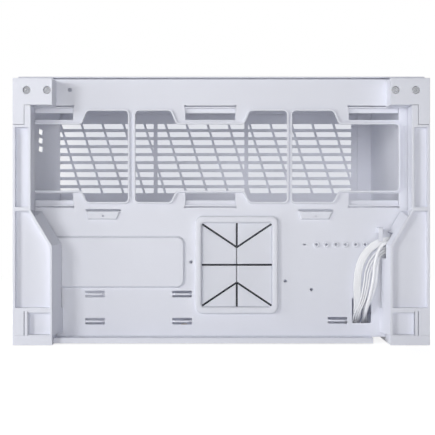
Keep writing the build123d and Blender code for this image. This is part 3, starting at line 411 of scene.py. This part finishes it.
def thin_route(index):
    """Thin leads lie inside the flat lead's bow, cross in front of it at the foot and turn off first."""
    inside = THIN_FIRST + THIN_PITCH * index
    foot = FOOT_PITCH * index
    row = THIN_ROW + THIN_PITCH * (1 - index)
    return [
        (LEAD_IN, OUTER_OUT, OUTER_TOP - inside), (44.0 - 0.2 * inside, OUTER_OUT, OUTER_TOP - inside),
        (61.5 - 0.8 * inside, OUTER_OUT, 102.5 - 0.9 * inside), (71.5 - inside, 7.4, 85.0 - 0.5 * inside),
        (74.0 - inside, 9.8, 64.0), (75.5 - 0.8 * inside, 9.8, 46.0),
        (76.6 - foot, 7.0, 33.0), (76.6 - foot, -4.5, 24.6), (78.4 - foot, row + 2.6, 15.8),
        (88.0 - foot, row - 0.3, THIN_REST + 0.2), (106.0, row + 0.4, THIN_REST), (132.0, row - 0.8, THIN_REST),
        (158.0, row + 0.2, THIN_REST), (186.0, row - 0.6, THIN_REST), (PLUG_IN, row, THIN_REST + 1.8),
    ]


# Flat leads: route, width, thickness, cores, plug and length in metres
FLAT_LEADS = {
    "lead_flat_outer": (OUTER_ROUTE, 8.4 * MM, 2.2 * MM, 4, "data_plug", 0.330),
    "lead_flat_inner": (INNER_ROUTE, 5.4 * MM, 2.0 * MM, 3, "audio_plug", 0.341),
}

# Round leads: route, diameter, plug and length in metres
ROUND_LEADS = {
    "lead_round": (ROUND_ROUTE, 3.8 * MM, "round_plug", 0.342),
    "lead_thin_a": (thin_route(0), 1.8 * MM, "switch_plug", 0.278),
    "lead_thin_b": (thin_route(1), 1.8 * MM, "switch_plug", 0.278),
    "lead_thin_c": (thin_route(2), 1.8 * MM, "switch_plug", 0.278),
}


# Leaves of the slit grommet. Their middle and bend lines come from the hinges of a side leaf and a top leaf.
HINGES = {joint["child"]: joint["pos_m"] for joint in frame["joints"] if "pos_m" in joint}
SIDE_HINGE = HINGES["flap_left_high"]
TOP_HINGE = HINGES["flap_top_left"]
LEAF_Y = SIDE_HINGE[1]
LEAF_MID = (TOP_HINGE[0], SIDE_HINGE[2])
ROOT_U = LEAF_MID[0] - SIDE_HINGE[0]
ROOT_V = TOP_HINGE[2] - LEAF_MID[1]

# Thickness and the slits' widths at the front, from the leaves' boxes: the wide cuts, and the fine one between
# the side leaves. Each cut is a groove that narrows towards the back.
LEFT_LOW, LEFT_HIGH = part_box("flap_left_high")
LEAF_THICK = LEFT_HIGH[1] - LEFT_LOW[1]
FRONT_SLIT = (LEFT_LOW[2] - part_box("flap_left_low")[1][2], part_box("flap_right_high")[0][0] - LEFT_HIGH[0])
BACK_SLIT = (0.16 * MM, 0.12 * MM)

# Where the slanting slits meet the middle one, how far below the corner they end and their slope; how far a
# leaf reaches past its bend line, how far it bends inside it, and the blunt end of a three-sided leaf
FORK = 19.0 * MM
SLIT_DROP = 0.4 * MM
LEAN = (ROOT_V - SLIT_DROP - FORK) / ROOT_U
ROOT_PAST = 1.05 * MM
BLUNT = 0.3 * MM


def leaf_face(corners, y, curl, steps):
    """Grid of one face of a leaf.

    p(a, b) = bend line point at b, moved by a towards the free edge point at b. The leaf curls by
    curl * (a * s / s_max)^2, with s the way from bend line to free edge at b. corners are bend start, bend end,
    free end and free start, as (u, v) from the grommet's middle.
    """
    a, b = np.meshgrid(np.linspace(0.0, 1.0, steps), np.linspace(0.0, 1.0, steps), indexing="ij")
    c = np.array(corners)
    bend = c[0] + (c[1] - c[0]) * b[..., None]
    free = c[3] + (c[2] - c[3]) * b[..., None]
    uv = bend + (free - bend) * a[..., None]
    span = np.linalg.norm(free - bend, axis=-1)
    depth = y - curl * (a * span / span.max()) ** 2
    return np.stack([LEAF_MID[0] + uv[..., 0], depth, LEAF_MID[1] + uv[..., 1]], axis=-1)


def leaf_mesh(name, front, back, flip):
    """Closed leaf from its two faces; the rim is the wall of the slits, slot 1, which carries the slits' painted
    shade, except along the bend line.
    """
    n = front.shape[0]
    index = np.arange(n * n).reshape(n, n)
    quads = np.stack([index[:-1, :-1], index[:-1, 1:], index[1:, 1:], index[1:, :-1]], axis=-1).reshape(-1, 4)
    loop = np.concatenate([index[0, :-1], index[:-1, -1], index[-1, :0:-1], index[:0:-1, 0]])
    after = np.roll(loop, -1)
    rim = np.stack([after, loop, loop + n * n, after + n * n], axis=-1)
    faces = np.concatenate([quads, quads[:, ::-1] + n * n, rim])
    faces = faces[:, ::-1] if flip else faces
    mesh = bpy.data.meshes.new(name)
    mesh.from_pydata(np.concatenate([front, back]).reshape(-1, 3).tolist(), [], faces.tolist())
    # Rim faces get slot 1, the dark finish that paints shade into the slits
    shade_walls = np.arange(len(faces)) >= 2 * len(quads) + n - 1
    mesh.polygons.foreach_set("material_index", shade_walls.astype(np.int32))
    mesh.polygons.foreach_set("use_smooth", np.arange(len(faces)) < 2 * len(quads))
    mesh.update()
    return mesh


def side_corners(sx, sz, slit, fine):
    """Corners of a four-sided leaf at the left (-1) or right (1), above (1) or below (-1) the level slit."""
    lift, root, near, half = slit / 2.0 * hypot(1.0, LEAN), ROOT_U + ROOT_PAST, fine / 2.0, slit / 2.0
    corners = [
        (root, half),
        (root, FORK + LEAN * root - lift),
        (near, FORK + LEAN * near - lift),
        (near, half),
    ]
    return [(sx * u, sz * v) for u, v in corners]


def edge_corners(sx, sz, slit, fine):
    """Corners of a three-sided leaf at the top (1) or bottom (-1), cut blunt at its sharp end.

    It has no side on the fine slit, whose width it takes only to be called as the four-sided leaves are.
    """
    lift, root, near = slit / 2.0 * hypot(1.0, LEAN), ROOT_V + ROOT_PAST, slit / 2.0
    reach = (root - FORK - lift) / LEAN - BLUNT
    corners = [
        (near, root),
        (reach, root),
        (reach, root - BLUNT * LEAN),
        (near, FORK + LEAN * near + lift),
    ]
    return [(sx * u, sz * v) for u, v in corners]


# Leaves: kind of corners, left or right, and above or below
LEAVES = {
    "flap_left_high": (side_corners, -1, 1),
    "flap_left_low": (side_corners, -1, -1),
    "flap_right_high": (side_corners, 1, 1),
    "flap_right_low": (side_corners, 1, -1),
    "flap_top_left": (edge_corners, -1, 1),
    "flap_top_right": (edge_corners, 1, 1),
    "flap_bottom_left": (edge_corners, -1, -1),
    "flap_bottom_right": (edge_corners, 1, -1),
}


class CASE_OT_finishes(Operator):
    """Gives every solid of the case its finish"""

    bl_idname = "case.finishes"
    bl_label = "Finishes"

    def execute(self, context):
        # Painted shade in the slits: dark, dull walls without shine
        finish(context.scene, SLIT_SHADE_FINISH, shine=0.0)
        ring = finish(context.scene, RING_FINISH)
        made = {slot: finish(context.scene, row) for slot, row in FINISHES.items()}
        for part in frame["record"]["subparts"]:
            obj = NODES[part["node"]]
            obj.data.materials.clear()
            obj.data.materials.append(made[part["material_slot"]])
        NODES["grommet_ring"].data.materials[0] = ring
        return {"FINISHED"}


class CASE_OT_leads(Operator):
    """Lays the leads from the socket board over the tray and through the cable hole"""

    bl_idname = "case.leads"
    bl_label = "Leads"

    def execute(self, context):
        jacket = bpy.data.materials["lead_jacket"]
        rib = context.scene.case_sizes.rib
        for node, (route, wide, thick, cores, plug, length) in FLAT_LEADS.items():
            line = spline_points(from_end(route))
            obj = show("flat_" + node, tube_mesh(node, ribbon_rings(line, wide, thick, cores, rib)))
            self.finish_lead(obj, node, jacket)
        for node, (route, wide, plug, length) in ROUND_LEADS.items():
            points = from_end(route)
            obj = route_spline("round_" + node, points, wide / 2.0)
            self.finish_lead(obj, node, jacket)
        return {"FINISHED"}

    def finish_lead(self, obj, node, jacket):
        """Jacket, slot and body of a lead, which stands for its solid."""
        obj.data.materials.append(jacket)
        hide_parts(node)
        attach(obj, "case")


class CASE_OT_leaves(Operator):
    """Makes the eight rubber leaves of the grommet"""

    bl_idname = "case.leaves"
    bl_label = "Leaves"

    def execute(self, context):
        sizes = context.scene.case_sizes
        near, far = LEAF_Y - LEAF_THICK / 2.0, LEAF_Y + LEAF_THICK / 2.0
        for node, (corners, sx, sz) in LEAVES.items():
            aside = corners is side_corners
            front = leaf_face(corners(sx, sz, *FRONT_SLIT), near, sizes.curl, sizes.steps)
            back = leaf_face(corners(sx, sz, *BACK_SLIT), far, sizes.curl, sizes.steps)
            flip = (sx * sz > 0) != aside
            obj = show("leaf_" + node.removeprefix("flap_"), leaf_mesh(node, front, back, flip))
            obj.data.materials.append(bpy.data.materials["grommet_rubber"])
            # Slot 1 paints shade into the slits
            obj.data.materials.append(bpy.data.materials["slit_wall"])
            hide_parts(node)
            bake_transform(obj)
        return {"FINISHED"}


# Stage

WHITE = (1.0, 1.0, 1.0, 1.0)

# Soft lamps: width and place; all face one point in the case
LAMPS = {
    "key": (0.5, (-1.4, -1.4, 0.55)),
    "side": (0.6, (-1.8, -0.5, 0.3)),
    "front": (0.5, (0.0, -1.6, 0.25)),
    "top": (1.0, (0.0, 0.6, 1.8)),
    "fill": (0.8, (1.7, 0.4, 0.3)),
    "back": (1.0, (0.2, 1.4, 0.9)),
}
LAMP_TARGET = (0.0, 0.0, 0.14)
SKY_TONE = (0.97, 0.98, 1.0, 1.0)
SENSOR_MM = 36.0
CLIP_NEAR = 0.01

# Tone and roughness of the floor and the backdrop, and how far they reach
PALE_TONE = (0.9, 0.9, 0.9, 1.0)
PALE_ROUGH = 0.9
FLOOR_HALF = 6.0
BACKDROP_Y = 20.0
BACKDROP_HALF = 14.0
BACKDROP_HIGH = 9.0

# Share of white that the camera sees in the floor beside the case, its strength there, and the distances
# between which both run out to 1
FLOOR_SHARE = 0.6
FLOOR_GLOW = 1.4
FLOOR_FADE = (0.45, 1.0)

# Painted shade on the backdrop straight behind the case: its tone, and where it runs out to white aside, up and
# down
PAINTED_SHADE_TONE = (0.74, 0.757, 0.81)
SHADE_WIDE = (2.7, 4.7)
SHADE_HIGH = (1.9, 3.25)
SHADE_LOW = (0.60, 0.0)


def soft_lamp(name, energy, size, place, target):
    """Square soft lamp that faces a point."""
    lamp = bpy.data.lights.new(name, "AREA")
    lamp.shape = "SQUARE"
    lamp.size = size
    lamp.energy = energy
    way = unit(np.array(target) - np.array(place))
    side = unit(np.cross(way, np.array([0.0, 0.0, 1.0])))
    up = np.cross(side, way)
    turn = np.eye(4)
    turn[:3, 0], turn[:3, 1], turn[:3, 2], turn[:3, 3] = side, up, -way, place
    show(name, lamp).matrix_world = turn.T.tolist()


def reckon(tree, operation, *values):
    """Math node that takes the given sockets."""
    node = tree.nodes.new("ShaderNodeMath")
    node.operation = operation
    for value, socket in zip(values, node.inputs):
        tree.links.new(value, socket)
    return node


def smooth_step(tree, value, span, ends=(0.0, 1.0)):
    """Output of a node that runs smoothly between two ends while the value runs over a span."""
    node = tree.nodes.new("ShaderNodeMapRange")
    node.interpolation_type = "SMOOTHSTEP"
    node.inputs["From Min"].default_value, node.inputs["From Max"].default_value = span
    node.inputs["To Min"].default_value, node.inputs["To Max"].default_value = ends
    tree.links.new(value, node.inputs["Value"])
    return node.outputs["Result"]


def see_white(tree, plain, white):
    """Shows white to the camera, to gloss and to glass, and the plain shader to all other light.

    Gives back the socket for the share of white, which is all of it unless something is linked to it.
    """
    path = tree.nodes.new("ShaderNodeLightPath")
    first = reckon(tree, "MAXIMUM", path.outputs["Is Camera Ray"], path.outputs["Is Glossy Ray"])
    seen = reckon(tree, "MAXIMUM", first.outputs[0], path.outputs["Is Transmission Ray"])
    share = reckon(tree, "MULTIPLY", seen.outputs[0])
    share.inputs[1].default_value = 1.0
    mix = tree.nodes.new("ShaderNodeMixShader")
    tree.links.new(share.outputs[0], mix.inputs["Fac"])
    tree.links.new(plain, mix.inputs[1])
    tree.links.new(white, mix.inputs[2])
    out = "Material Output" if "Material Output" in tree.nodes else "World Output"
    tree.links.new(mix.outputs[0], tree.nodes[out].inputs["Surface"])
    return share.inputs[1]


def pale_material(name):
    """Matt pale material, its node tree and its shader's output."""
    material, tree, shader = new_material(name)
    shader.inputs["Base Color"].default_value = PALE_TONE
    shader.inputs["Roughness"].default_value = PALE_ROUGH
    return material, tree, shader.outputs[0]


def stage_sheet(name, corners, material):
    """Flat piece of the stage."""
    mesh = bpy.data.meshes.new(name)
    mesh.from_pydata(corners, [], [(0, 1, 2, 3)])
    mesh.materials.append(material)
    obj = show(name, mesh)


class CASE_OT_stage(Operator):
    """Sets the floor, the backdrop, the even light, the lamps and the camera"""

    bl_idname = "case.stage"
    bl_label = "Stage"

    def execute(self, context):
        scene, light = context.scene, context.scene.case_light
        self.floor()
        self.backdrop()
        self.sky(scene, light.sky)
        for name, (size, place) in LAMPS.items():
            soft_lamp(name, getattr(light, name), size, place, LAMP_TARGET)
        self.camera(scene, light)
        scene.view_settings.view_transform = "Standard"
        return {"FINISHED"}

    def floor(self):
        """Pale floor that keeps the case's shadow near it and runs out to white.

        share of white and its strength = smooth steps to 1 over the distance from the middle.
        """
        material, tree, plain = pale_material("pale_floor")
        glow = tree.nodes.new("ShaderNodeEmission")
        place = tree.nodes.new("ShaderNodeTexCoord")
        reach = tree.nodes.new("ShaderNodeVectorMath")
        reach.operation = "LENGTH"
        tree.links.new(place.outputs["Object"], reach.inputs[0])
        share = see_white(tree, plain, glow.outputs[0])
        for socket, near in ((share, FLOOR_SHARE), (glow.inputs["Strength"], FLOOR_GLOW)):
            tree.links.new(smooth_step(tree, reach.outputs["Value"], FLOOR_FADE, (near, 1.0)), socket)
        half = FLOOR_HALF
        stage_sheet("floor", [(-half, -half, 0), (half, -half, 0), (half, half, 0), (-half, half, 0)], material)

    def backdrop(self):
        """White backdrop with painted shade, a greyer glow straight behind the case, where it is seen through the
        slots.

        share of white = the largest of three smooth steps: aside from the middle, upwards and downwards.
        """
        material, tree, plain = pale_material("pale_backdrop")
        nodes, links = tree.nodes, tree.links
        place = nodes.new("ShaderNodeTexCoord")
        parts = nodes.new("ShaderNodeSeparateXYZ")
        links.new(place.outputs["Object"], parts.inputs[0])
        aside = reckon(tree, "ABSOLUTE", parts.outputs["X"])
        wide = smooth_step(tree, aside.outputs[0], SHADE_WIDE)
        high = smooth_step(tree, parts.outputs["Z"], SHADE_HIGH)
        low = smooth_step(tree, parts.outputs["Z"], SHADE_LOW)
        share = reckon(tree, "MAXIMUM", reckon(tree, "MAXIMUM", wide, high).outputs[0], low)
        # Painted shade: a greyer tone straight behind the case, shown to the camera as glow
        tone = nodes.new("ShaderNodeMix")
        tone.data_type = "RGBA"
        tone.inputs["A"].default_value = (*PAINTED_SHADE_TONE, 1.0)
        tone.inputs["B"].default_value = WHITE
        links.new(share.outputs[0], tone.inputs["Factor"])
        glow = nodes.new("ShaderNodeEmission")
        links.new(tone.outputs["Result"], glow.inputs["Color"])
        see_white(tree, plain, glow.outputs[0])
        half, y, top = BACKDROP_HALF, BACKDROP_Y, BACKDROP_HIGH
        stage_sheet("backdrop", [(-half, y, 0), (half, y, 0), (half, y, top), (-half, y, top)], material)

    def sky(self, scene, strength):
        """Even light from all round, white where the camera sees it."""
        world = bpy.data.worlds.new("studio")
        scene.world = world
        world.use_nodes = True
        tree = world.node_tree
        even = tree.nodes["Background"]
        even.inputs["Color"].default_value = SKY_TONE
        even.inputs["Strength"].default_value = strength
        white = tree.nodes.new("ShaderNodeBackground")
        white.inputs["Color"].default_value = WHITE
        see_white(tree, even.outputs[0], white.outputs[0])

    def camera(self, scene, light):
        """Level camera square to the case's near face."""
        camera = bpy.data.cameras.new("camera")
        camera.lens = light.lens
        camera.sensor_width = SENSOR_MM
        camera.shift_x = light.shift_x
        camera.shift_y = light.shift_y
        camera.clip_start = CLIP_NEAR
        obj = show("camera", camera)
        obj.location = (0.0, NEAR_Y - light.distance, light.height)
        obj.rotation_euler = (radians(90.0), 0.0, 0.0)
        scene.camera = obj


class CASE_PT_panel(Panel):
    """Steps that dress the case"""

    bl_label = "Case"
    bl_space_type = "VIEW_3D"
    bl_region_type = "UI"
    bl_category = "Case"

    def draw(self, context):
        for step in STEPS:
            self.layout.operator(step.bl_idname)


GROUPS = [CaseColours, CaseSizes, CaseLight]
STEPS = [CASE_OT_finishes, CASE_OT_leads, CASE_OT_leaves, CASE_OT_stage]


def register():
    """Adds the settings, the steps and the panel."""
    for cls in GROUPS + STEPS + [CASE_PT_panel]:
        bpy.utils.register_class(cls)
    bpy.types.Scene.case_colours = PointerProperty(type=CaseColours)
    bpy.types.Scene.case_sizes = PointerProperty(type=CaseSizes)
    bpy.types.Scene.case_light = PointerProperty(type=CaseLight)


def unregister():
    """Takes the settings, the steps and the panel away again."""
    del bpy.types.Scene.case_light
    del bpy.types.Scene.case_sizes
    del bpy.types.Scene.case_colours
    for cls in reversed(GROUPS + STEPS + [CASE_PT_panel]):
        bpy.utils.unregister_class(cls)


def main():
    """Dresses the case step by step."""
    register()
    bpy.ops.case.finishes()
    bpy.ops.case.leads()
    bpy.ops.case.leaves()
    bpy.ops.case.stage()


if __name__ == "__main__":
    main()
